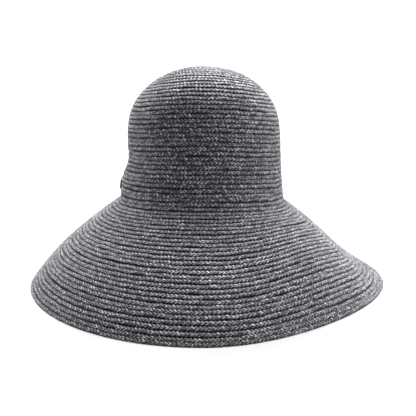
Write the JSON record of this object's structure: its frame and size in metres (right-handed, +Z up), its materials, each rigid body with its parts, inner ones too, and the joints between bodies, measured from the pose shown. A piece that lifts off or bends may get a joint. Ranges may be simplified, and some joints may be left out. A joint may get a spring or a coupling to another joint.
{
  "type": "sun hat",
  "caption": "Wide-brimmed sun hat sewn from flat braid, with a tall round crown, a drooping brim and a small plain side plate.",
  "frame": {"origin": "on the surface that the rim stands on, under the middle of the hat's box", "axes": "+Z up through the crown; the front faces -Y; +X is on the right of a viewer who looks at the front"},
  "size_m": [0.3844, 0.3928, 0.229],
  "materials": {
    "braid": "charcoal and pale grey mixed fibre, sewn in flat braid, dry and matt",
    "plate": "dark purple-grey, smooth, satin"
  },
  "bodies": {
    "root": {"crown": "braid", "brim": "braid", "side_plate": "plate"}
  },
  "joints": []
}
